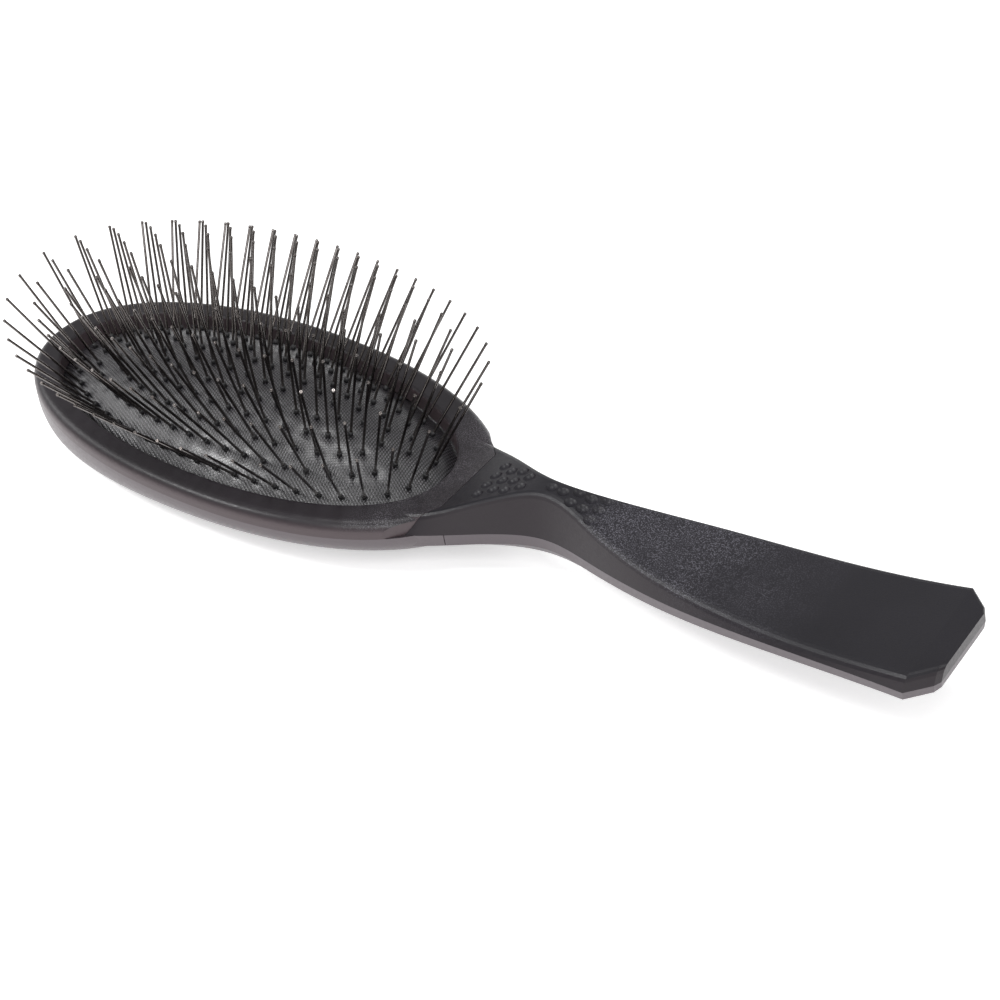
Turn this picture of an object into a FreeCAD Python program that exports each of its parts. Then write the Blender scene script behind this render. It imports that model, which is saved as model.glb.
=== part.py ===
import FreeCAD, Part
import math
import os

# Paddle brush, millimetres. The oval head is level, +X runs along the handle, +Y across
# the brush and +Z up through the pins. The flat of the back stands at Z = 0.

doc = FreeCAD.newDocument("paddle_brush")
sheet = doc.addObject("Spreadsheet::Sheet", "Sizes")

SIZES = [
    ("head_end_x", 6.0, "end of the oval head on the handle's side"),
    ("head_half_length", 63.0, "half length of the oval head"),
    ("head_half_width", 33.25, "half width of the oval head"),
    ("oval_power", 2.13, "squareness of the head outline, 2 is an ellipse"),
    ("rim_height", 15.0, "top of the frame above the flat of the back"),
    ("parting_height", 11.2, "joint between frame and back on the head"),
    ("rim_round", 2.4, "rounding of the outer top edge of the frame"),
    ("mouth_round", 0.9, "rounding of the inner top edge of the frame"),
    ("rim_at_tip", 7.0, "width of the frame at the head's far tip"),
    ("rim_at_throat", 10.0, "width of the frame at the handle"),
    ("rim_at_side", 6.25, "width of the frame at the sides"),
    ("back_wall", 4.5, "floor of the back under the air chamber"),
    ("back_flat_inset", 20.0, "inset of the resting flat from the head's sides"),
    ("back_end_inset", 13.0, "inset of the resting flat from the head's ends"),
    ("back_taper", 0.8, "how much narrower the resting flat gets towards the handle"),
    ("back_side_height", 10.2, "where the back's dome turns into its upright side"),
    ("ledge_height", 6.9, "ledge in the back that carries the seat ring"),
    ("ledge_width", 2.6, "how far the pocket reaches outside the opening"),
    ("ledge_lip", 0.8, "how far the ledge reaches inside the opening"),
    ("ring_gap", 0.1, "free gap between the pocket and what drops into it"),
    ("seat_ring_height", 2.0, "height of the ring under the cushion's flange"),
    ("flange_thick", 1.1, "thickness of the cushion's flange"),
    ("cushion_edge_height", 10.5, "where the domed cushion meets its flange"),
    ("cushion_crown", 12.6, "rise of the cushion over its edge"),
    ("cushion_wall", 1.8, "thickness of the rubber cushion"),
    ("backing_wall", 1.2, "thickness of the sheet that backs the pins"),
    ("backing_margin", 1.4, "how far that sheet reaches outside the outer ring of pins"),
    ("soft_gap", 0.2, "free gap round the soft pieces"),
    ("sheet_gap", 0.05, "gap between the cushion and its backing"),
    ("pin_diameter", 0.62, "wire of the pins"),
    ("pin_length", 26.3, "free length of a pin above the cushion"),
    ("pin_root", 2.9, "length of a pin inside the cushion and its backing"),
    ("pin_pitch", 5.15, "distance between pins along a ring"),
    ("pin_margin", 4.0, "outer ring of pins to the side of the opening"),
    ("pin_margin_end", 5.0, "outer ring of pins to the end of the opening"),
    ("ring_step", 3.9, "first ring to the second, across the head"),
    ("ring_step_growth", 0.3, "how much each next step grows"),
    ("ring_step_long", 5.9, "distance between rings along the head"),
    ("seam_x", 3.0, "joint between the frame and the grip"),
    ("seam_half_width", 10.4, "straight middle of that joint"),
    ("seam_slant", 0.875, "how far the joint runs back per millimetre outwards"),
    ("lower_seam_x", 4.7, "joint between the back and the grip's lower half"),
    ("seam_gap", 0.16, "open line of the joints on the outside"),
    ("edge_round", 1.3, "rounding of the crests and of the underside"),
    ("end_round", 0.8, "bevel of the handle's cut-off end"),
    ("strip_height", 2.0, "lower strip of the grip at the handle's end"),
    ("strip_growth", 1.2, "how much the strip gains towards the head"),
    ("strip_draft", 0.4, "inward lean of the strip"),
    ("belly_depth", 2.6, "underside of the grip below its strip"),
    ("belly_run_out", 0.4, "share of the handle over which the underside thins out"),
    ("belly_least", 0.05, "underside below the strip at the very end"),
    ("belly_share", 0.6, "flat of the underside as a share of its width"),
    ("tang_wall", 1.5, "grip material beside the tang"),
    ("tang_thick", 1.8, "thickness of the tang"),
    ("tang_end_x", 96.0, "end of the tang inside the grip"),
    ("tang_gap", 0.1, "gap round the tang"),
    ("tang_root", 1.0, "how far the tang starts inside the head"),
    ("dimple_diameter", 2.8, "dimples for the thumb and finger"),
    ("dimple_depth", 0.6, "depth of a dimple"),
    ("dimple_pitch", 3.65, "distance between dimples across the grip"),
    ("front_dimples_x", 8.7, "first row of dimples by the head"),
    ("rear_dimples_x", 25.0, "first row of dimples on the handle"),
    ("dimple_row_step", 3.0, "distance between rows of dimples"),
    ("reach", 160.0, "size of the cutting blocks, past every piece"),
]

# The handle's cross-sections from the head to the end: place along the brush, half width
# and height of the two crests, then half width and height of the parting line.
STATIONS = [
    ("root", -8.0, 16.0, 14.9, 19.6, 11.2),
    ("neck", 3.0, 12.9, 17.0, 13.9, 11.2),
    ("front", 9.0, 10.0, 19.4, 10.4, 11.5),
    ("rise", 16.0, 6.2, 22.0, 6.9, 12.1),
    ("throat", 24.0, 3.2, 24.0, 4.4, 12.6),
    ("waist", 38.0, 5.9, 22.3, 6.8, 13.8),
    ("palm", 61.0, 11.2, 20.4, 12.2, 16.4),
    ("belly", 88.0, 13.6, 21.3, 14.6, 19.4),
    ("corner", 114.8, 15.0, 25.5, 16.0, 22.1),
    ("end", 120.0, 9.7, 26.1, 10.8, 22.6),
]
STATION_FIELDS = ("x", "crest_half", "crest_height", "side_half", "side_height")

# How many dimples stand in each row across the grip, from the head to the end.
FRONT_DIMPLES = (4, 3, 3, 2)
REAR_DIMPLES = (1, 1, 2, 2, 3)
# How many nodes each ring of pins is split into, from the outer ring inwards.
RING_ARCS = (4, 4, 4, 2, 2)

OUTLINE_POINTS = 28
DOME_LEVELS = 5
ROUNDING_STEPS = 3

MOUTH_HALF_LENGTH = ("(Sizes.head_half_length"
                     " - (Sizes.rim_at_tip + Sizes.rim_at_throat) / 2)")
MOUTH_HALF_WIDTH = "(Sizes.head_half_width - Sizes.rim_at_side)"
MOUTH_X = ("(Sizes.head_end_x - Sizes.head_half_length"
           " + (Sizes.rim_at_tip - Sizes.rim_at_throat) / 2)")
DOME_RADIUS = ("((%s ^ 2 + Sizes.cushion_crown ^ 2) / (2 * Sizes.cushion_crown))"
               % MOUTH_HALF_WIDTH)
DOME_STRETCH = "(%s / %s)" % (MOUTH_HALF_LENGTH, MOUTH_HALF_WIDTH)
DOME_Z = "(Sizes.cushion_edge_height + Sizes.cushion_crown - %s)" % DOME_RADIUS
RING_TOP = "(Sizes.ledge_height + Sizes.seat_ring_height)"
FLANGE_LOW = "(%s + Sizes.soft_gap)" % RING_TOP
FLANGE_TOP = "(%s + Sizes.flange_thick)" % FLANGE_LOW


def fill_sheet():
    row = 1
    for alias, value, note in SIZES:
        sheet.set("A%d" % row, note)
        sheet.set("B%d" % row, str(value))
        sheet.setAlias("B%d" % row, alias)
        row += 1
    for name, *values in STATIONS:
        for field, value in zip(STATION_FIELDS, values):
            sheet.set("A%d" % row, "%s section, %s" % (name, field.replace("_", " ")))
            sheet.set("B%d" % row, str(value))
            sheet.setAlias("B%d" % row, "%s_%s" % (name, field))
            row += 1
    doc.recompute()


def size(alias):
    return float(sheet.get(alias))


def mouth_half_length():
    return size("head_half_length") - 0.5 * (size("rim_at_tip") + size("rim_at_throat"))


def mouth_half_width():
    return size("head_half_width") - size("rim_at_side")


def head_x():
    return size("head_end_x") - size("head_half_length")


def mouth_x():
    return head_x() + 0.5 * (size("rim_at_tip") - size("rim_at_throat"))


def dome_radius():
    crown = size("cushion_crown")
    return (mouth_half_width() ** 2 + crown ** 2) / (2 * crown)


# Document objects


def add(kind, name, **rules):
    """A new object of the document; each rule binds one of its sizes to the sheet."""
    item = doc.addObject(kind, name)
    item.Label = name
    for path, rule in rules.items():
        item.setExpression(path, rule)
    return item


def at_height(item, rule):
    item.setExpression("Placement.Base.z", rule)
    return item


def formed(name, shape):
    """A form that no primitive gives: its shape is set here, then its place."""
    item = add("Part::Feature", name)
    item.Shape = shape
    item.Placement = FreeCAD.Placement()
    return item


def fused(name, *items):
    item = add("Part::MultiFuse", name)
    item.Shapes = list(items)
    item.Refine = True
    return item


def common(name, *items):
    item = add("Part::MultiCommon", name)
    item.Shapes = list(items)
    return item


def cut(name, base, tool):
    item = add("Part::Cut", name)
    item.Base = base
    item.Tool = tool
    return item


def oval_wire(middle_x, half_length, half_width, height=0.0, taper=0.0):
    """One level outline of the head: a slightly squared ellipse, narrower towards +X."""
    power = 2.0 / size("oval_power")
    points = []
    for index in range(OUTLINE_POINTS):
        turn = 2 * math.pi * index / OUTLINE_POINTS
        along = math.copysign(abs(math.cos(turn)) ** power, math.cos(turn))
        across = math.copysign(abs(math.sin(turn)) ** power, math.sin(turn))
        points.append(FreeCAD.Vector(middle_x + half_length * along,
                                     half_width * across * (1 - taper * along), height))
    curve = Part.BSplineCurve()
    curve.interpolate(Points=points, PeriodicFlag=True)
    return Part.Wire(curve.toShape())


def head_wire():
    return oval_wire(head_x(), size("head_half_length"), size("head_half_width"))


def back_level(turn):
    """The back's outline at a turn of its curve: 0 at the resting flat, a quarter at the side."""
    drawn_in = 1 - math.sin(turn)
    return oval_wire(head_x(), size("head_half_length") - size("back_end_inset") * drawn_in,
                     size("head_half_width") - size("back_flat_inset") * drawn_in,
                     size("back_side_height") * (1 - math.cos(turn)),
                     size("back_taper") * drawn_in)


def mouth_wire(offset, height=0.0):
    """The opening's outline, moved outwards by offset."""
    return oval_wire(mouth_x(), mouth_half_length() + offset,
                     mouth_half_width() + offset, height)


def prism(name, wire, low, high):
    """An outline at the height low, drawn up to the height high."""
    outline = at_height(formed(name + "_outline", Part.Face(wire)), low)
    item = add("Part::Extrusion", name, LengthFwd="%s - %s" % (high, low))
    item.Base = outline
    item.DirMode = "Custom"
    item.Dir = FreeCAD.Vector(0, 0, 1)
    item.Solid = True
    return item


def loft(name, wires, ruled):
    sections = [formed("%s_section%d" % (name, index + 1), wire)
                for index, wire in enumerate(wires)]
    item = add("Part::Loft", name)
    item.Sections = sections
    item.Solid = True
    item.Ruled = ruled
    return item


def block(name, low_x, low_z):
    """A cutting block that starts at low_x and low_z and reaches past the brush."""
    item = add("Part::Box", name, Length="2 * Sizes.reach", Width="2 * Sizes.reach",
               Height="Sizes.reach")
    item.setExpression("Placement.Base.x", low_x)
    item.setExpression("Placement.Base.y", "-Sizes.reach")
    return at_height(item, low_z)


# The handle


def station(name):
    return [size("%s_%s" % (name, field)) for field in STATION_FIELDS]


def handle_share(along):
    """1 at the neck and 0 at the handle's end."""
    return (size("end_x") - along) / (size("end_x") - size("neck_x"))


def rounded(corners, rounded_ones):
    """The corners in order, with some of them turned into a short arc of points."""
    radius = size("edge_round")
    points = []
    for index, corner in enumerate(corners):
        if index not in rounded_ones:
            points.append(corner)
            continue
        start = corner + (corners[index - 1] - corner).normalize() * radius
        stop = corner + (corners[index + 1] - corner).normalize() * radius
        for step in range(ROUNDING_STEPS + 1):
            share = step / ROUNDING_STEPS
            points.append(start * (1 - share) ** 2 + corner * (2 * share * (1 - share))
                          + stop * share ** 2)
    return points


def upper_corners(name):
    """Section of the grip's top, from one parting line over both crests to the other."""
    x, crest_half, crest_z, side_half, side_z = station(name)
    corners = [FreeCAD.Vector(x, -side_half, side_z), FreeCAD.Vector(x, -crest_half, crest_z),
               FreeCAD.Vector(x, crest_half, crest_z), FreeCAD.Vector(x, side_half, side_z)]
    return rounded(corners, (1, 2))


def lower_corners(name):
    """Section of the underside: the upright strip and a flat belly with slanted sides."""
    x, crest_half, crest_z, side_half, side_z = station(name)
    share = handle_share(x)
    base_half = side_half - size("strip_draft")
    base_z = side_z - size("strip_height") - size("strip_growth") * share
    keel_half = base_half * size("belly_share")
    depth = size("belly_depth") * min(1.0, share / size("belly_run_out"))
    keel_z = base_z - size("belly_least") - depth
    corners = [FreeCAD.Vector(x, side_half, side_z), FreeCAD.Vector(x, base_half, base_z),
               FreeCAD.Vector(x, keel_half, keel_z), FreeCAD.Vector(x, -keel_half, keel_z),
               FreeCAD.Vector(x, -base_half, base_z), FreeCAD.Vector(x, -side_half, side_z)]
    return rounded(corners, (2, 3))


def closed(points):
    return Part.makePolygon(points + points[:1])


def bevelled_end(corner, end):
    """The last sections: up to the bevel, then drawn in towards the parting line."""
    length = end[0].x - corner[0].x
    bevel = size("end_round")
    start = [first + (last - first) * (1 - bevel / length)
             for first, last in zip(corner, end)]
    half = size("end_side_half")
    middle_z = size("end_side_height")
    tall = max(abs(point.z - middle_z) for point in end)
    drawn = [FreeCAD.Vector(point.x, point.y * (1 - bevel / half),
                            middle_z + (point.z - middle_z) * (1 - 0.5 * bevel / tall))
             for point in end]
    return [closed(corner), closed(start), closed(drawn)]


def handle_form(name, corners_of):
    """Guide curves through the sections up to the corners, then the cut-off end."""
    sections = [corners_of(row[0]) for row in STATIONS]
    guides = []
    for line in zip(*sections[:-1]):
        curve = Part.BSplineCurve()
        curve.interpolate(list(line))
        guides.append(curve.toShape())
    faces = [Part.makeRuledSurface(guides[index - 1], guides[index])
             for index in range(len(guides))]
    for section in (sections[0], sections[-2]):
        faces.append(Part.Face(closed(section)))
    shell = Part.makeShell(faces)
    shell.sewShape()
    run = Part.makeSolid(Part.makeShell(shell.Faces))
    if run.Volume < 0:
        run.reverse()
    tail = loft(name + "_end", bevelled_end(*sections[-2:]), True)
    return fused(name, formed(name + "_run", run), tail)


def tang_form(name, gap_alias, clear):
    """The flat tongue of the back that runs inside the grip, or its clear space."""
    gap = size(gap_alias) if clear else 0.0
    wires = []
    for row in STATIONS[1:-1]:
        x, crest_half, crest_z, side_half, side_z = station(row[0])
        half = min(crest_half, side_half) - size("tang_wall") + gap
        tall = 0.5 * size("tang_thick") + gap
        wires.append(closed([FreeCAD.Vector(x, -half, side_z - tall),
                             FreeCAD.Vector(x, half, side_z - tall),
                             FreeCAD.Vector(x, half, side_z + tall),
                             FreeCAD.Vector(x, -half, side_z + tall)]))
    run = loft(name + "_run", wires, True)
    more = " + Sizes.tang_gap" if clear else ""
    limit = add("Part::Box", name + "_limit", Width="2 * Sizes.reach",
                Height="Sizes.reach",
                Length="Sizes.tang_end_x - Sizes.seam_x + Sizes.tang_root" + more)
    limit.setExpression("Placement.Base.x", "Sizes.seam_x - Sizes.tang_root")
    limit.setExpression("Placement.Base.y", "-Sizes.reach")
    return common(name, run, limit)


def seam_form(name, gap_alias=None):
    """Everything on the handle's side of the joint between frame and grip."""
    gap = size(gap_alias) if gap_alias else 0.0
    half = size("seam_half_width")
    outer = size("reach")
    front = size("seam_x") + gap
    back = front - size("seam_slant") * (outer - half)
    far = size("end_x") + size("reach")
    plan = [(front, -half), (front, half), (back, outer), (far, outer), (far, -outer),
            (back, -outer)]
    face = Part.Face(closed([FreeCAD.Vector(x, y, 0) for x, y in plan]))
    item = add("Part::Extrusion", name, LengthFwd="Sizes.reach")
    item.Base = formed(name + "_plan", face)
    item.DirMode = "Custom"
    item.Dir = FreeCAD.Vector(0, 0, 1)
    item.Solid = True
    return item


# The pieces


def make_back_shell(lower_handle):
    levels = [back_level(0.5 * math.pi * step / DOME_LEVELS)
              for step in range(DOME_LEVELS + 1)]
    dome_part = loft("back_dome", levels, False)
    side_part = prism("back_side", head_wire(), "Sizes.back_side_height",
                      "Sizes.parting_height")
    blank = fused("back_blank", dome_part, side_part, lower_handle)
    beyond = block("back_beyond", "Sizes.lower_seam_x", "0")
    above = block("back_above", "-Sizes.reach", "0")
    pocket = prism("back_pocket", mouth_wire(size("ledge_width")), "Sizes.ledge_height",
                   "Sizes.rim_height")
    chamber = prism("back_chamber", mouth_wire(-size("ledge_lip")), "Sizes.back_wall",
                    "Sizes.rim_height")
    level = common("back_level", cut("back_trim", blank, beyond), above)
    hollow = cut("back_hollow", cut("back_ledge", level, pocket), chamber)
    return fused("back_shell", hollow, tang_form("tang", "tang_gap", False))


def make_mouth_tool():
    """The opening as a cutter: upright, then flared to round the frame's inner edge."""
    radius = size("mouth_round")
    top = size("rim_height")
    shaft = prism("mouth_shaft", mouth_wire(0), "0 * Sizes.rim_height",
                  "(Sizes.rim_height + Sizes.mouth_round)")
    wires = []
    for step in range(ROUNDING_STEPS + 1):
        turn = 0.5 * math.pi * step / ROUNDING_STEPS
        wires.append(mouth_wire(radius * (1 - math.cos(turn)),
                                top - radius * (1 - math.sin(turn))))
    flare = loft("mouth_flare", wires, True)
    over = prism("mouth_over", mouth_wire(radius), "Sizes.rim_height",
                 "(Sizes.rim_height + 4 * Sizes.mouth_round)")
    return fused("mouth_tool", shaft, flare, over)


def make_front_frame(upper_handle, back):
    blank = prism("frame_blank", head_wire(), "Sizes.parting_height", "Sizes.rim_height")
    doc.recompute()
    heights = [edge.CenterOfMass.z for edge in blank.Shape.Edges]
    top_edge = heights.index(max(heights)) + 1
    soft = add("Part::Fillet", "frame_soft_edge")
    soft.Base = blank
    soft.Edges = [(top_edge, size("rim_round"), size("rim_round"))]
    whole = fused("frame_whole", soft, upper_handle)
    kept = cut("frame_kept", whole, seam_form("frame_seam"))
    skirt = prism("frame_skirt", mouth_wire(size("ledge_width") - size("ring_gap")),
                  "(%s + Sizes.soft_gap)" % FLANGE_TOP, "Sizes.parting_height")
    clamped = fused("frame_clamp", kept, skirt)
    return cut("front_frame", cut("frame_open", clamped, make_mouth_tool()), back)


def make_dimples(cover):
    """Shallow balls set into the top of the grip, in rows that follow its width."""
    depth = size("dimple_depth")
    radius = (size("dimple_diameter") ** 2 / 4 + depth ** 2) / (2 * depth)
    balls = []
    for first_x, rows in ((size("front_dimples_x"), FRONT_DIMPLES),
                          (size("rear_dimples_x"), REAR_DIMPLES)):
        for row, count in enumerate(rows):
            for place in range(count):
                x = first_x + row * size("dimple_row_step")
                y = (place - (count - 1) / 2.0) * size("dimple_pitch")
                drop = Part.makeLine(FreeCAD.Vector(x, y, 0),
                                     FreeCAD.Vector(x, y, size("reach")))
                top = cover.Shape.common(drop).BoundBox.ZMax
                ball = add("Part::Sphere", "dimple%d" % (len(balls) + 1), Radius=(
                    "(Sizes.dimple_diameter ^ 2 / 4 + Sizes.dimple_depth ^ 2)"
                    " / (2 * Sizes.dimple_depth)"))
                ball.Placement.Base = FreeCAD.Vector(x, y, top + radius - depth)
                balls.append(ball)
    group = add("Part::Compound", "dimples")
    group.Links = balls
    return group


def make_grip_top(upper_handle, tang_space):
    cover = common("grip_cover", upper_handle, seam_form("grip_seam", "seam_gap"))
    cover = cut("grip_cover_hollow", cover, tang_space)
    doc.recompute()
    return cut("grip_top", cover, make_dimples(cover))


def make_grip_bottom(lower_handle, tang_space):
    rear = block("grip_rear", "Sizes.lower_seam_x + Sizes.seam_gap", "0")
    return cut("grip_bottom", common("grip_base", lower_handle, rear), tang_space)


def make_seat_ring():
    outer = prism("ring_outer", mouth_wire(size("ledge_width") - size("ring_gap")),
                  "Sizes.ledge_height", RING_TOP)
    inner = prism("ring_inner", mouth_wire(-size("ledge_lip")), "Sizes.back_wall",
                  "Sizes.rim_height")
    return cut("seat_ring", outer, inner)


def dome(name, depth):
    """The cushion's ball-like form, stretched along the head, depth inside its skin."""
    inner = "(%s - %s)" % (DOME_RADIUS, depth)
    item = add("Part::Ellipsoid", name, Radius1=inner, Radius3=inner,
               Radius2="%s * %s" % (inner, DOME_STRETCH))
    item.Angle1 = -90
    item.Angle2 = 90
    item.Angle3 = 360
    item.setExpression("Placement.Base.x", MOUTH_X)
    return at_height(item, DOME_Z)


def make_cushion():
    limit = prism("cushion_limit", mouth_wire(-size("soft_gap")), FLANGE_LOW,
                  "Sizes.reach")
    flange = prism("cushion_flange", mouth_wire(size("ledge_width") - size("soft_gap")),
                   FLANGE_LOW, FLANGE_TOP)
    crown = common("cushion_crown", dome("cushion_dome", "0 * Sizes.cushion_wall"), limit)
    return cut("cushion", fused("cushion_blank", crown, flange),
               dome("cushion_hollow", "Sizes.cushion_wall"))


def make_pin_backing():
    limit = prism("backing_limit", mouth_wire(size("backing_margin") - size("pin_margin")),
                  "0 * Sizes.reach", "Sizes.reach")
    outer = dome("backing_outer", "(Sizes.cushion_wall + Sizes.sheet_gap)")
    inner = dome("backing_inner",
                 "(Sizes.cushion_wall + Sizes.sheet_gap + Sizes.backing_wall)")
    return common("pin_backing", cut("backing_shell", outer, inner), limit)


def make_pin(name, x, y):
    """One wire pin, square to the cushion where it stands."""
    radius = dome_radius()
    stretch = mouth_half_length() / mouth_half_width()
    along = (x - mouth_x()) / stretch
    up = math.sqrt(radius ** 2 - along ** 2 - y ** 2)
    centre_z = size("cushion_edge_height") + size("cushion_crown") - radius
    lean = FreeCAD.Vector(along / stretch, y, up).normalize()
    foot = FreeCAD.Vector(x, y, centre_z + up) - lean * size("pin_root")
    pin = add("Part::Cylinder", name, Radius="Sizes.pin_diameter / 2",
              Height="Sizes.pin_root + Sizes.pin_length")
    pin.Placement = FreeCAD.Placement(foot, FreeCAD.Rotation(FreeCAD.Vector(0, 0, 1), lean))
    return pin


def ring_sizes(ring):
    """Half length and half width of one ring of pins, ring 0 outermost."""
    inset = size("pin_margin") + ring * size("ring_step") + (
        size("ring_step_growth") * ring * (ring - 1) / 2.0)
    inset_long = size("pin_margin_end") + ring * size("ring_step_long")
    return mouth_half_length() - inset_long, mouth_half_width() - inset


def ring_places(ring):
    edge = oval_wire(mouth_x(), *ring_sizes(ring)).Edges[0]
    count = 2 * int(round(edge.Length / size("pin_pitch") / 2))
    offset = 0.5 * (ring % 2)
    places = []
    for index in range(count):
        run = edge.Length * (index + offset) / count
        spot = edge.valueAt(edge.getParameterByLength(run))
        places.append((spot.x, spot.y))
    return places


def middle_row():
    half_length = ring_sizes(len(RING_ARCS))[0]
    count = int(2 * half_length / size("pin_pitch"))
    return [(mouth_x() + (index - (count - 1) / 2.0) * size("pin_pitch"), 0.0)
            for index in range(count)]


def make_pins():
    """The pins of each ring, in arcs, and the middle row, one node each."""
    groups = []
    for ring, arcs in enumerate(RING_ARCS):
        places = ring_places(ring)
        for arc in range(arcs):
            share = places[len(places) * arc // arcs:len(places) * (arc + 1) // arcs]
            groups.append(("pins_ring%d_arc%d" % (ring + 1, arc + 1), share))
    groups.append(("pins_middle_row", middle_row()))
    nodes = []
    for name, places in groups:
        node = add("Part::Compound", name)
        node.Links = [make_pin("%s_pin%d" % (name, index + 1), x, y)
                      for index, (x, y) in enumerate(places)]
        nodes.append(node)
    return nodes


fill_sheet()
upper_handle = handle_form("upper_handle", upper_corners)
lower_handle = handle_form("lower_handle", lower_corners)
tang_space = tang_form("tang_space", "tang_gap", True)
back_shell = make_back_shell(lower_handle)
pieces = [
    back_shell,
    make_front_frame(upper_handle, back_shell),
    make_grip_top(upper_handle, tang_space),
    make_grip_bottom(lower_handle, tang_space),
    make_seat_ring(),
    make_cushion(),
    make_pin_backing(),
]
pieces += make_pins()

doc.recompute()
for item in doc.Objects:
    if "Invalid" in item.State or "Error" in item.State:
        raise RuntimeError("%s did not build" % item.Label)
for piece in pieces:
    if piece.Shape.isNull() or not piece.Shape.isValid():
        raise RuntimeError("%s has no valid shape" % piece.Label)

os.makedirs("parts", exist_ok=True)
for piece in pieces:
    piece.Shape.exportStep("parts/%s.step" % piece.Label)
    print(piece.Label, len(piece.Shape.Solids), round(piece.Shape.Volume, 1))
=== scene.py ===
import bpy
import bmesh
import math
from mathutils import Matrix, Vector


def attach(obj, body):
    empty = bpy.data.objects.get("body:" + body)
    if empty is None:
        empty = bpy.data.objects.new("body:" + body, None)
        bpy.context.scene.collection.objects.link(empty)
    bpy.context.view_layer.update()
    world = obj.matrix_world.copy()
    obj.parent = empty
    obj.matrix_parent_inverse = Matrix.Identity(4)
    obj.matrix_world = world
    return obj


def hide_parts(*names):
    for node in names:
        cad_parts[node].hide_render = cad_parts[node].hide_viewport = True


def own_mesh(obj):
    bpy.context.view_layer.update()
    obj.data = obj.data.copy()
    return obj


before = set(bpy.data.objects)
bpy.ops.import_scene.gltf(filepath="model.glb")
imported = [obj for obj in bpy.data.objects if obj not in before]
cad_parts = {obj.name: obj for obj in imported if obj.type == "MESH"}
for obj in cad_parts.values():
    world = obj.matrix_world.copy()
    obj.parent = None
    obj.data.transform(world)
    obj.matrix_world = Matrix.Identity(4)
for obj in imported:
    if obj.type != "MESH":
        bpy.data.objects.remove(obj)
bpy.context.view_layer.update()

# Paddle brush. Metres, +X along the handle, +Z up through the pins, the flat of the back at Z = 0.

MM = 0.001

# The frame's opening, the dome of the cushion and its flange, as in the part's own sizes.
MOUTH_MIDDLE = -58.5 * MM
MOUTH_HALF_LENGTH = 54.5 * MM
MOUTH_HALF_WIDTH = 27.0 * MM
OVAL_POWER = 2.13
EDGE_HEIGHT = 10.5 * MM
CROWN_RISE = 12.6 * MM
FLANGE_TOP = 10.2 * MM
FLANGE_REACH = 2.3 * MM
CUSHION_WALL = 1.1 * MM
EDGE_GAP = 0.25 * MM

DOME_RADIUS = (MOUTH_HALF_WIDTH ** 2 + CROWN_RISE ** 2) / (2 * CROWN_RISE)
DOME_STRETCH = MOUTH_HALF_LENGTH / MOUTH_HALF_WIDTH
DOME_CENTRE_HEIGHT = EDGE_HEIGHT + CROWN_RISE - DOME_RADIUS

# The skin starts as the top of a ball of radius 1, cut off at this height.
SKIN_SEGMENTS = 224
SKIN_RINGS = 200
SKIN_CUT = 0.7

# How far the skin is drawn down at a pin's foot, and how far out that reaches.
PULL_DEPTH = 0.35 * MM
PULL_SPREAD = 1.3 * MM

# A pin's wire above the cushion, its ball end and the dark collar at its foot, which stands for the
# hole in the weave where the wire goes in: black rubber and painted shade.
PIN_FREE_LENGTH = 26.3 * MM
SAME_POINT = 0.005 * MM
TIP_RADIUS = 0.41 * MM
TIP_INSET = 0.35 * MM
TIP_NECK_LENGTH = 1.5
TIP_NECK_WIDTH = 0.94
COLLAR_RADIUS = 0.62 * MM
COLLAR_HEIGHT = 1.0 * MM
COLLAR_ABOVE_FOOT = 0.2 * MM
COLLAR_LIP = 0.17 * MM
COLLAR_CROWN = 0.25 * MM
COLLAR_TAPER = 0.8

# Where along the brush the grain is fresh: it begins, is full, fades and is worn smooth. The
# painted glints, light specks that stand for highlights, lie in the same span.
PALM_GRAIN_AND_GLINT = (32 * MM, 40 * MM, 55 * MM, 92 * MM)
THROAT_GRAIN_AND_GLINT = (-16 * MM, -8 * MM, 20 * MM, 30 * MM)

# The camera of the photograph: angles in degrees, lens in millimetres.
CAMERA_AZIMUTH = 36.57
CAMERA_ELEVATION = 39.56
CAMERA_ROLL = -3.93
CAMERA_TARGET = (16.01 * MM, -6.56 * MM, 21.5 * MM)
CAMERA_REACH = 470.35 * MM
CAMERA_LENS = 79.38
CAMERA_SENSOR = 36

# The studio: the floor glows a little more far away, so that no horizon shows.
FLOOR_SIZE = 8
FLOOR_HEIGHT = -0.2 * MM
GLOW_NEAR = (0.5, 0.5)
GLOW_FAR = (1.6, 0.85)
SKY_LIGHT = 0.3
SKY_MIRRORED = 0.5


def deselect():
    if bpy.context.mode != "OBJECT":
        bpy.ops.object.mode_set(mode="OBJECT")
    bpy.ops.object.select_all(action="DESELECT")


def only(piece):
    deselect()
    piece.select_set(True)
    bpy.context.view_layer.objects.active = piece


def edit(piece):
    only(piece)
    bpy.ops.object.mode_set(mode="EDIT")


def done():
    bpy.ops.object.mode_set(mode="OBJECT")


# Materials

class Nodes:
    """Adds shader nodes to a tree and joins their sockets."""

    def __init__(self, tree):
        self.tree = tree

    def add(self, kind, **settings):
        node = self.tree.nodes.new(kind)
        for key, value in settings.items():
            setattr(node, key, value)
        return node

    def put(self, value, socket):
        if isinstance(value, bpy.types.NodeSocket):
            self.tree.links.new(value, socket)
        else:
            socket.default_value = value

    def math(self, kind, first, second=0.0, clamp=False):
        node = self.add("ShaderNodeMath", operation=kind, use_clamp=clamp)
        self.put(first, node.inputs[0])
        self.put(second, node.inputs[1])
        return node.outputs[0]

    def ramp(self, value, low, high, out_low=0.0, out_high=1.0):
        node = self.add("ShaderNodeMapRange")
        for socket, number in zip(node.inputs[:5], (value, low, high, out_low, out_high)):
            self.put(number, socket)
        return node.outputs[0]


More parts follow.
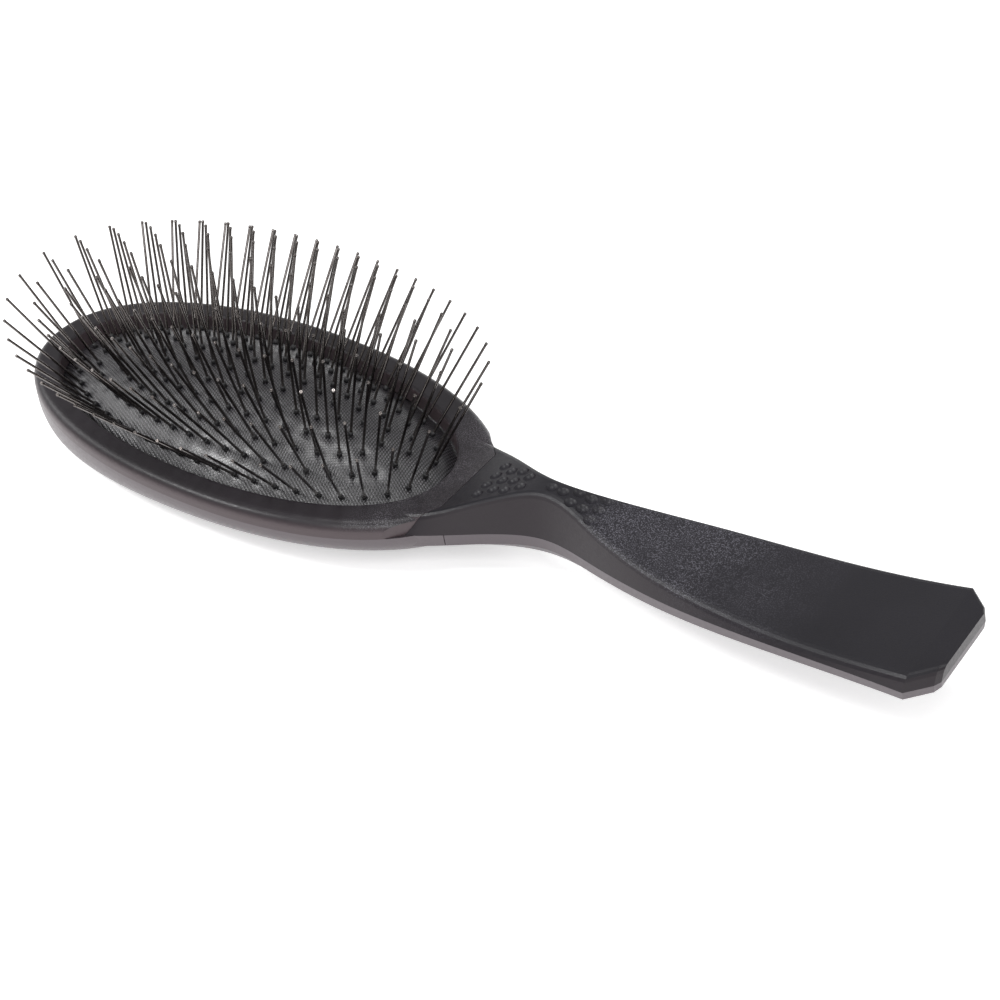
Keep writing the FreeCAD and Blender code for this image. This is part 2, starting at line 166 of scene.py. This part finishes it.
class Finish(Nodes):
    """A material, with the textures that the finishes of the brush are mixed from."""

    def __init__(self, name):
        self.material = bpy.data.materials.new(name)
        self.material.use_nodes = True
        super().__init__(self.material.node_tree)
        self.shader = self.tree.nodes["Principled BSDF"]
        self.place = self.add("ShaderNodeTexCoord").outputs["Object"]

    def set(self, **values):
        for key, value in values.items():
            self.put(value, self.shader.inputs[key.replace("_", " ")])

    def noise(self, scale, detail=2.0, rough=0.5):
        node = self.add("ShaderNodeTexNoise")
        self.put(self.place, node.inputs["Vector"])
        self.put(scale, node.inputs["Scale"])
        self.put(detail, node.inputs["Detail"])
        self.put(rough, node.inputs["Roughness"])
        return node.outputs["Fac"]

    def axis(self, vector, letter):
        node = self.add("ShaderNodeSeparateXYZ")
        self.put(vector, node.inputs[0])
        return node.outputs[letter]

    def turned(self, vector, degrees, scale=(1.0, 1.0, 1.0)):
        node = self.add("ShaderNodeMapping")
        self.put(vector, node.inputs["Vector"])
        self.put((0, 0, math.radians(degrees)), node.inputs["Rotation"])
        self.put(scale, node.inputs["Scale"])
        return node.outputs[0]

    def blend(self, share, first, second):
        """Two colours mixed. The Mix node's colour sockets have the numbers 6, 7 and 2."""
        node = self.add("ShaderNodeMix", data_type="RGBA")
        self.put(share, node.inputs[0])
        self.put(first, node.inputs[6])
        self.put(second, node.inputs[7])
        return node.outputs[2]

    def bump(self, height, depth, strength=1.0):
        node = self.add("ShaderNodeBump")
        self.put(strength, node.inputs["Strength"])
        self.put(depth, node.inputs["Distance"])
        self.put(height, node.inputs["Height"])
        return node.outputs["Normal"]


def colour(red, green, blue):
    return (red, green, blue, 1.0)


def facing_up(made):
    """1 on faces that look up, 0 on upright sides."""
    normal = made.add("ShaderNodeNewGeometry").outputs["Normal"]
    return made.ramp(made.axis(normal, "Z"), 0.15, 0.75)


def fresh_grain_and_glint(made, begins, full, fades, ends):
    """1 where the moulded grain is fresh, in patches, and 0 where hands have worn it smooth. The
    same share lets the painted glints through, light specks that stand for highlights.
    """
    along = made.axis(made.place, "X")
    unworn = made.math("MULTIPLY", made.ramp(along, begins, full),
                       made.ramp(along, fades, ends, 1.0, 0.0))
    patches = made.ramp(made.noise(75, 3, 0.6), 0.38, 0.62, 0.45, 1.0)
    return made.math("MULTIPLY", unworn, patches)


def moulded_plastic(name, dark, light, painted_side_sheen, glint, grain_and_glint_span, grain_depth, gloss, shine):
    """Black moulded plastic: spark-eroded grain on what faces up, smoother upright sides. The
    upright sides are painted lighter, a painted reflection of the floor, and the fresh grain
    carries painted glints.
    """
    made = Finish(name)
    upward = facing_up(made)
    grain_and_glint = made.math("MULTIPLY", upward, fresh_grain_and_glint(made, *grain_and_glint_span))
    fine = made.noise(3800, 1)
    grit = made.noise(1500, 1)
    grain = made.math("ADD", made.math("MULTIPLY", fine, 0.7), made.math("MULTIPLY", grit, 0.3))
    top = made.blend(made.ramp(made.noise(40), 0.35, 0.65), dark, light)
    # Painted glints: light specks put into the colour of the fresh grain, standing in for
    # highlights on the grain.
    painted_glints = made.math("MULTIPLY", made.ramp(fine, 0.5, 0.66), grain_and_glint)
    painted_glint_share = made.math("MULTIPLY", painted_glints, 0.8)
    # Painted reflection: the upright sides take the lighter side colour, the floor's reflection (in
    # the head also the pins') put into the colour; the painted glints lie over both.
    made.set(Base_Color=made.blend(painted_glint_share, made.blend(upward, painted_side_sheen, top), glint),
             Roughness=made.ramp(grit, 0.3, 0.7, gloss - 0.04, gloss + 0.05),
             Specular_IOR_Level=shine,
             Normal=made.bump(grain, grain_depth, made.math("ADD", grain_and_glint, 0.3, clamp=True)))
    return made.material


def inner_plastic(name):
    """Plain grey plastic and felt inside the head."""
    made = Finish(name)
    cloud = made.noise(300, 3)
    made.set(Base_Color=made.blend(cloud, colour(0.03, 0.03, 0.032), colour(0.05, 0.05, 0.052)),
             Roughness=made.ramp(cloud, 0.3, 0.7, 0.5, 0.62),
             Normal=made.bump(made.noise(2400), 0.02 * MM))
    return made.material


def pin_steel(name):
    """Polished drawn wire with a little warm tarnish."""
    made = Finish(name)
    tarnish = made.ramp(made.noise(260, 3, 0.6), 0.35, 0.7)
    made.set(Base_Color=made.blend(tarnish, colour(0.17, 0.157, 0.152), colour(0.1, 0.086, 0.08)),
             Metallic=1.0,
             Roughness=made.ramp(tarnish, 0.0, 1.0, 0.1, 0.17))
    return made.material


def cushion_weave(name):
    """Open nylon weave: rows of pale thread crossings over dark holes, set askew on the dome."""
    made = Finish(name)
    across = made.turned(made.place, -36)
    cells = made.add("ShaderNodeTexVoronoi", voronoi_dimensions="2D", feature="F1")
    made.put(made.turned(across, 45, (1.0, 0.58, 1.0)), cells.inputs["Vector"])
    made.put(1950.0, cells.inputs["Scale"])
    made.put(0.0, cells.inputs["Randomness"])
    thread = made.ramp(cells.outputs["Distance"], 0.44, 0.24)
    fuzz = made.noise(5200, 2, 0.6)
    cloud = made.ramp(made.noise(90, 3, 0.6), 0.3, 0.7)
    pale = made.blend(cloud, colour(0.06, 0.057, 0.064), colour(0.09, 0.086, 0.095))
    made.set(Base_Color=made.blend(thread, colour(0.001, 0.001, 0.0015), pale),
             Roughness=made.ramp(fuzz, 0.3, 0.7, 0.24, 0.34),
             Specular_IOR_Level=0.8,
             Normal=made.bump(thread, 0.04 * MM, 0.9))
    return made.material


def dark_rubber_and_foot_shade(name):
    """Soft black rubber of the collars round the pins, dark also as painted shade: each collar
    stands for a hole in the weave, dark with rubber and shade.
    """
    made = Finish(name)
    cloud = made.noise(900, 3)
    made.set(Base_Color=made.blend(cloud, colour(0.006, 0.006, 0.007), colour(0.016, 0.015, 0.017)),
             Roughness=made.ramp(cloud, 0.3, 0.7, 0.45, 0.6),
             Normal=made.bump(made.noise(4000), 0.02 * MM))
    return made.material


# Painted light in these finishes: each side colour is a painted reflection of the floor, in the
# head also of the pins, and each glint colour is painted glints.
GRIP_BLACK = moulded_plastic("soft_touch_black",
                             dark=colour(0.0085, 0.0075, 0.0108),
                             light=colour(0.012, 0.0108, 0.0148),
                             painted_side_sheen=colour(0.016, 0.0105, 0.0145),
                             glint=colour(0.16, 0.154, 0.182),
                             grain_and_glint_span=PALM_GRAIN_AND_GLINT, grain_depth=0.09 * MM, gloss=0.38, shine=0.34)
UNDER_BLACK = moulded_plastic("soft_touch_underside",
                              dark=colour(0.009, 0.0082, 0.011),
                              light=colour(0.013, 0.012, 0.0155),
                              painted_side_sheen=colour(0.09, 0.071, 0.082),
                              glint=colour(0.06, 0.058, 0.068),
                              grain_and_glint_span=PALM_GRAIN_AND_GLINT, grain_depth=0.05 * MM, gloss=0.38, shine=0.7)
HEAD_BLACK = moulded_plastic("satin_head_black",
                             dark=colour(0.012, 0.0098, 0.0122),
                             light=colour(0.021, 0.0172, 0.021),
                             painted_side_sheen=colour(0.085, 0.064, 0.07),
                             glint=colour(0.16, 0.15, 0.17),
                             grain_and_glint_span=THROAT_GRAIN_AND_GLINT, grain_depth=0.09 * MM, gloss=0.34, shine=0.36)
BACK_BLACK = moulded_plastic("satin_back_black",
                             dark=colour(0.03, 0.022, 0.026),
                             light=colour(0.04, 0.033, 0.037),
                             painted_side_sheen=colour(0.1, 0.079, 0.089),
                             glint=colour(0.06, 0.055, 0.06),
                             grain_and_glint_span=THROAT_GRAIN_AND_GLINT, grain_depth=0.03 * MM, gloss=0.34, shine=0.75)
INNER_GREY = inner_plastic("inner_ring_plastic")
STEEL = pin_steel("drawn_pin_steel")
WEAVE = cushion_weave("black_cushion_weave")
RUBBER_AND_FOOT_SHADE = dark_rubber_and_foot_shade("pin_foot_rubber_and_shade")

FINISHES = {"grip_top": GRIP_BLACK, "grip_bottom": UNDER_BLACK, "front_frame": HEAD_BLACK,
            "back_shell": BACK_BLACK, "cushion": WEAVE}


def coat(node, material):
    """Give a CAD node its finish through its material slots."""
    if not node.material_slots:
        node.data.materials.append(material)
    for held in node.material_slots:
        held.material = material


for name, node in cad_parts.items():
    inner_or_pin = STEEL if name.startswith("pins_") else INNER_GREY
    coat(node, FINISHES.get(name, inner_or_pin))


# Pins, read back from the CAD wires

def islands(shape):
    """The separate shells of a mesh, each as a list of its vertices, in the mesh's own order."""
    seen = set()
    for start in shape.verts:
        if start not in seen:
            seen.add(start)
            found = [start]
            for vert in found:
                for edge in vert.link_edges:
                    other = edge.other_vert(vert)
                    if other not in seen:
                        seen.add(other)
                        found.append(other)
            yield found


def wires(node):
    """Upper end and direction of each wire in a CAD node of pins."""
    shape = bmesh.new()
    shape.from_mesh(node.data)
    bmesh.ops.remove_doubles(shape, verts=shape.verts, dist=SAME_POINT)
    found = []
    for verts in islands(shape):
        middle = sum((vert.co.z for vert in verts)) / len(verts)
        upper = [vert.co for vert in verts if vert.co.z > middle]
        lower = [vert.co for vert in verts if vert.co.z <= middle]
        end = sum(upper, Vector()) / len(upper)
        foot = sum(lower, Vector()) / len(lower)
        found.append((end, (end - foot).normalized()))
    shape.free()
    return found


PINS = []
for name in sorted(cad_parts):
    if name.startswith("pins_"):
        PINS.extend(wires(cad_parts[name]))


def down_the_pins(distance):
    """A place and direction on every pin, at a distance below its upper end."""
    return [(end - line * distance, line) for end, line in PINS]


def repeat(pattern, name, places, body, material):
    """Copy a small modelled piece to each place, each copy with its own mesh, and join them."""
    copies = []
    for spot, direction in places:
        copy = pattern.copy()
        copy.data = pattern.data.copy()
        bpy.context.scene.collection.objects.link(copy)
        copy.matrix_world = (Matrix.Translation(spot)
                             @ direction.to_track_quat("Z", "Y").to_matrix().to_4x4())
        copies.append(copy)
    deselect()
    for copy in copies:
        copy.select_set(True)
    bpy.context.view_layer.objects.active = copies[0]
    bpy.ops.object.join()
    whole = bpy.context.view_layer.objects.active
    bpy.ops.object.transform_apply(location=True, rotation=True, scale=True)
    bpy.data.objects.remove(pattern)
    whole.name = name
    whole.data.name = name
    whole.data.materials.clear()
    whole.data.materials.append(material)
    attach(whole, body)


def ball_tip():
    """Rounded end of a wire, a little wider than the wire and drawn in at its neck."""
    deselect()
    bpy.ops.mesh.primitive_uv_sphere_add(segments=10, ring_count=7, radius=TIP_RADIUS)
    tip = bpy.context.object
    for vert in tip.data.vertices:
        if vert.co.z < 0:
            vert.co.z *= TIP_NECK_LENGTH
            vert.co.x *= TIP_NECK_WIDTH
            vert.co.y *= TIP_NECK_WIDTH
    only(tip)
    bpy.ops.object.shade_smooth()
    return tip


def collar_with_foot_shade():
    """Small dark boss that the wire comes out of: it stands for the hole in the weave at the pin's
    foot, partly black rubber and partly painted shade.
    """
    deselect()
    bpy.ops.mesh.primitive_cylinder_add(vertices=12, radius=COLLAR_RADIUS, depth=COLLAR_HEIGHT)
    boss = bpy.context.object
    edit(boss)
    shape = bmesh.from_edit_mesh(boss.data)
    for face in shape.faces:
        face.select = face.normal.z > 0.9
    bmesh.update_edit_mesh(boss.data)
    bpy.ops.mesh.inset(thickness=COLLAR_LIP)
    bpy.ops.transform.translate(value=(0, 0, COLLAR_CROWN))
    bpy.ops.transform.resize(value=(COLLAR_TAPER, COLLAR_TAPER, 1), center_override=(0, 0, 0))
    done()
    bpy.ops.object.shade_smooth()
    return boss


repeat(ball_tip(), "pin_tips", down_the_pins(TIP_INSET), "pin_field", STEEL)
repeat(collar_with_foot_shade(), "pin_foot_collars_and_shade", down_the_pins(PIN_FREE_LENGTH - COLLAR_ABOVE_FOOT),
       "pin_field", RUBBER_AND_FOOT_SHADE)


# The cushion

def dome_height(x, y):
    along = (x - MOUTH_MIDDLE) / DOME_STRETCH
    return DOME_CENTRE_HEIGHT + math.sqrt(DOME_RADIUS ** 2 - along ** 2 - y ** 2)


def bowed(value):
    """One coordinate of the opening's oval, which is a little squarer than an ellipse."""
    return math.copysign(abs(value) ** (2.0 / OVAL_POWER), value)


def on_skin(share, turn):
    """Place on the dome at a share of the way from its middle to its edge."""
    x = MOUTH_MIDDLE + share * (MOUTH_HALF_LENGTH - EDGE_GAP) * bowed(math.cos(turn))
    y = share * (MOUTH_HALF_WIDTH - EDGE_GAP) * bowed(math.sin(turn))
    return x, y, dome_height(x, y)


def outwards(spot):
    """Level direction away from the opening's middle, square to its edge."""
    return Vector(((spot.x - MOUTH_MIDDLE) / MOUTH_HALF_LENGTH ** 2,
                   spot.y / MOUTH_HALF_WIDTH ** 2, 0)).normalized()


def domed_skin():
    """The top of a ball, stretched over the dome."""
    bpy.ops.mesh.primitive_uv_sphere_add(segments=SKIN_SEGMENTS, ring_count=SKIN_RINGS, radius=1.0)
    skin = bpy.context.object
    edit(skin)
    bpy.ops.mesh.select_all(action="SELECT")
    bpy.ops.mesh.bisect(plane_co=(0, 0, SKIN_CUT), plane_no=(0, 0, 1), clear_inner=True)
    done()
    widest = max(vert.co.xy.length for vert in skin.data.vertices)
    for vert in skin.data.vertices:
        vert.co = on_skin(vert.co.xy.length / widest, math.atan2(vert.co.y, vert.co.x))
    return skin


def pull_in(skin):
    """Draw the skin down a little round the foot of every pin."""
    for foot, line in down_the_pins(PIN_FREE_LENGTH):
        for vert in skin.data.vertices:
            away = math.hypot(vert.co.x - foot.x, vert.co.y - foot.y)
            if away < 3 * PULL_SPREAD:
                vert.co.z -= PULL_DEPTH * math.exp(-(away / PULL_SPREAD) ** 2)


def add_flange(skin):
    """Take the skin's open edge down to the seat, and then outwards under the frame."""
    edit(skin)
    bpy.ops.mesh.select_all(action="DESELECT")
    shape = bmesh.from_edit_mesh(skin.data)
    for edge in shape.edges:
        if edge.is_boundary:
            edge.select_set(True)
    bmesh.update_edit_mesh(skin.data)
    bpy.ops.mesh.extrude_edges_move()
    shape = bmesh.from_edit_mesh(skin.data)
    for vert in shape.verts:
        if vert.select:
            vert.co.z = FLANGE_TOP
    bmesh.update_edit_mesh(skin.data)
    bpy.ops.mesh.extrude_edges_move()
    shape = bmesh.from_edit_mesh(skin.data)
    for vert in shape.verts:
        if vert.select:
            vert.co += outwards(vert.co) * FLANGE_REACH
    bmesh.update_edit_mesh(skin.data)
    bpy.ops.mesh.select_all(action="SELECT")
    bpy.ops.mesh.normals_make_consistent(inside=False)
    done()


def thicken(skin):
    """Give the skin its rubber wall, on the inside."""
    wall = skin.modifiers.new("wall", "SOLIDIFY")
    wall.thickness = CUSHION_WALL
    wall.offset = -1
    only(skin)
    bpy.ops.object.modifier_apply(modifier=wall.name)
    bpy.ops.object.shade_smooth()


def build_cushion():
    """Domed skin, pulled in a little round each pin, with the flange that the frame clamps."""
    deselect()
    skin = domed_skin()
    pull_in(skin)
    add_flange(skin)
    thicken(skin)
    skin.name = "cushion_skin"
    skin.data.materials.clear()
    skin.data.materials.append(WEAVE)
    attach(skin, "pin_field")
    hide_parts("cushion")
    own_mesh(skin)


build_cushion()


# Studio

def pale_floor():
    """White floor that also glows, but only where the camera or a mirror image sees it."""
    bpy.ops.mesh.primitive_plane_add(size=FLOOR_SIZE, location=(0, 0, FLOOR_HEIGHT))
    floor = bpy.context.object
    floor.name = "studio_floor"
    made = Finish("studio_white")
    made.set(Base_Color=colour(0.9, 0.9, 0.9), Roughness=0.9, Specular_IOR_Level=0.1)
    path = made.add("ShaderNodeLightPath")
    seen = made.math("MAXIMUM", path.outputs["Is Camera Ray"], path.outputs["Is Glossy Ray"])
    away = made.add("ShaderNodeVectorMath", operation="LENGTH")
    made.put(made.place, away.inputs[0])
    level = made.ramp(away.outputs["Value"], GLOW_NEAR[0], GLOW_FAR[0], GLOW_NEAR[1], GLOW_FAR[1])
    glow = made.add("ShaderNodeEmission")
    made.put(made.math("MULTIPLY", seen, level), glow.inputs["Strength"])
    both = made.add("ShaderNodeAddShader")
    made.put(made.shader.outputs[0], both.inputs[0])
    made.put(glow.outputs[0], both.inputs[1])
    made.put(both.outputs[0], made.tree.nodes["Material Output"].inputs["Surface"])
    floor.data.materials.append(made.material)


def studio_world():
    """White where the camera sees it, dimmer as light on the brush and in its mirror images."""
    world = bpy.data.worlds.new("studio")
    world.use_nodes = True
    made = Nodes(world.node_tree)
    path = made.add("ShaderNodeLightPath")
    dimmed = made.ramp(path.outputs["Is Glossy Ray"], 0.0, 1.0, SKY_LIGHT, SKY_MIRRORED)
    back = made.tree.nodes["Background"]
    made.put(colour(1.0, 1.0, 1.0), back.inputs["Color"])
    made.put(made.math("MAXIMUM", path.outputs["Is Camera Ray"], dimmed), back.inputs["Strength"])
    bpy.context.scene.world = world


def sight(azimuth, elevation):
    """Direction from the brush to a lamp or the camera, from angles in degrees."""
    turn, rise = math.radians(azimuth), math.radians(elevation)
    return Vector((math.sin(turn) * math.cos(rise), -math.cos(turn) * math.cos(rise),
                   math.sin(rise)))


def soft_lamp(name, azimuth, elevation, reach, size, power):
    """A square area lamp aimed at the middle of the brush."""
    data = bpy.data.lights.new(name, "AREA")
    data.shape = "SQUARE"
    data.size = size
    data.energy = power
    lamp = bpy.data.objects.new(name, data)
    away = sight(azimuth, elevation)
    lamp.location = away * reach
    lamp.rotation_mode = "QUATERNION"
    lamp.rotation_quaternion = away.to_track_quat("Z", "Y")
    bpy.context.scene.collection.objects.link(lamp)


def place_camera():
    """The photograph's view, rolled a little about the line of sight."""
    back = sight(CAMERA_AZIMUTH, CAMERA_ELEVATION)
    roll = math.radians(CAMERA_ROLL)
    right = (-back).cross(Vector((0, 0, 1))).normalized()
    up = right.cross(-back)
    rolled = math.cos(roll) * right + math.sin(roll) * up
    upright = -math.sin(roll) * right + math.cos(roll) * up
    data = bpy.data.cameras.new("camera")
    data.sensor_width = CAMERA_SENSOR
    data.lens = CAMERA_LENS
    data.clip_start, data.clip_end = 0.02, 20
    camera = bpy.data.objects.new("camera", data)
    bpy.context.scene.collection.objects.link(camera)
    camera.matrix_world = (Matrix.Translation(Vector(CAMERA_TARGET) + back * CAMERA_REACH)
                           @ Matrix((rolled, upright, back)).transposed().to_4x4())
    bpy.context.scene.camera = camera


deselect()
pale_floor()
studio_world()
soft_lamp("key", azimuth=28, elevation=50, reach=0.9, size=0.4, power=3.2)
soft_lamp("top", azimuth=-130, elevation=80, reach=0.9, size=0.26, power=2.0)
soft_lamp("crest", azimuth=-46, elevation=47, reach=1.1, size=0.16, power=3.4)
soft_lamp("left", azimuth=-80, elevation=30, reach=1.1, size=0.5, power=2.2)
soft_lamp("right", azimuth=115, elevation=40, reach=1.1, size=0.6, power=2.5)
place_camera()
bpy.context.scene.view_settings.view_transform = "Standard"
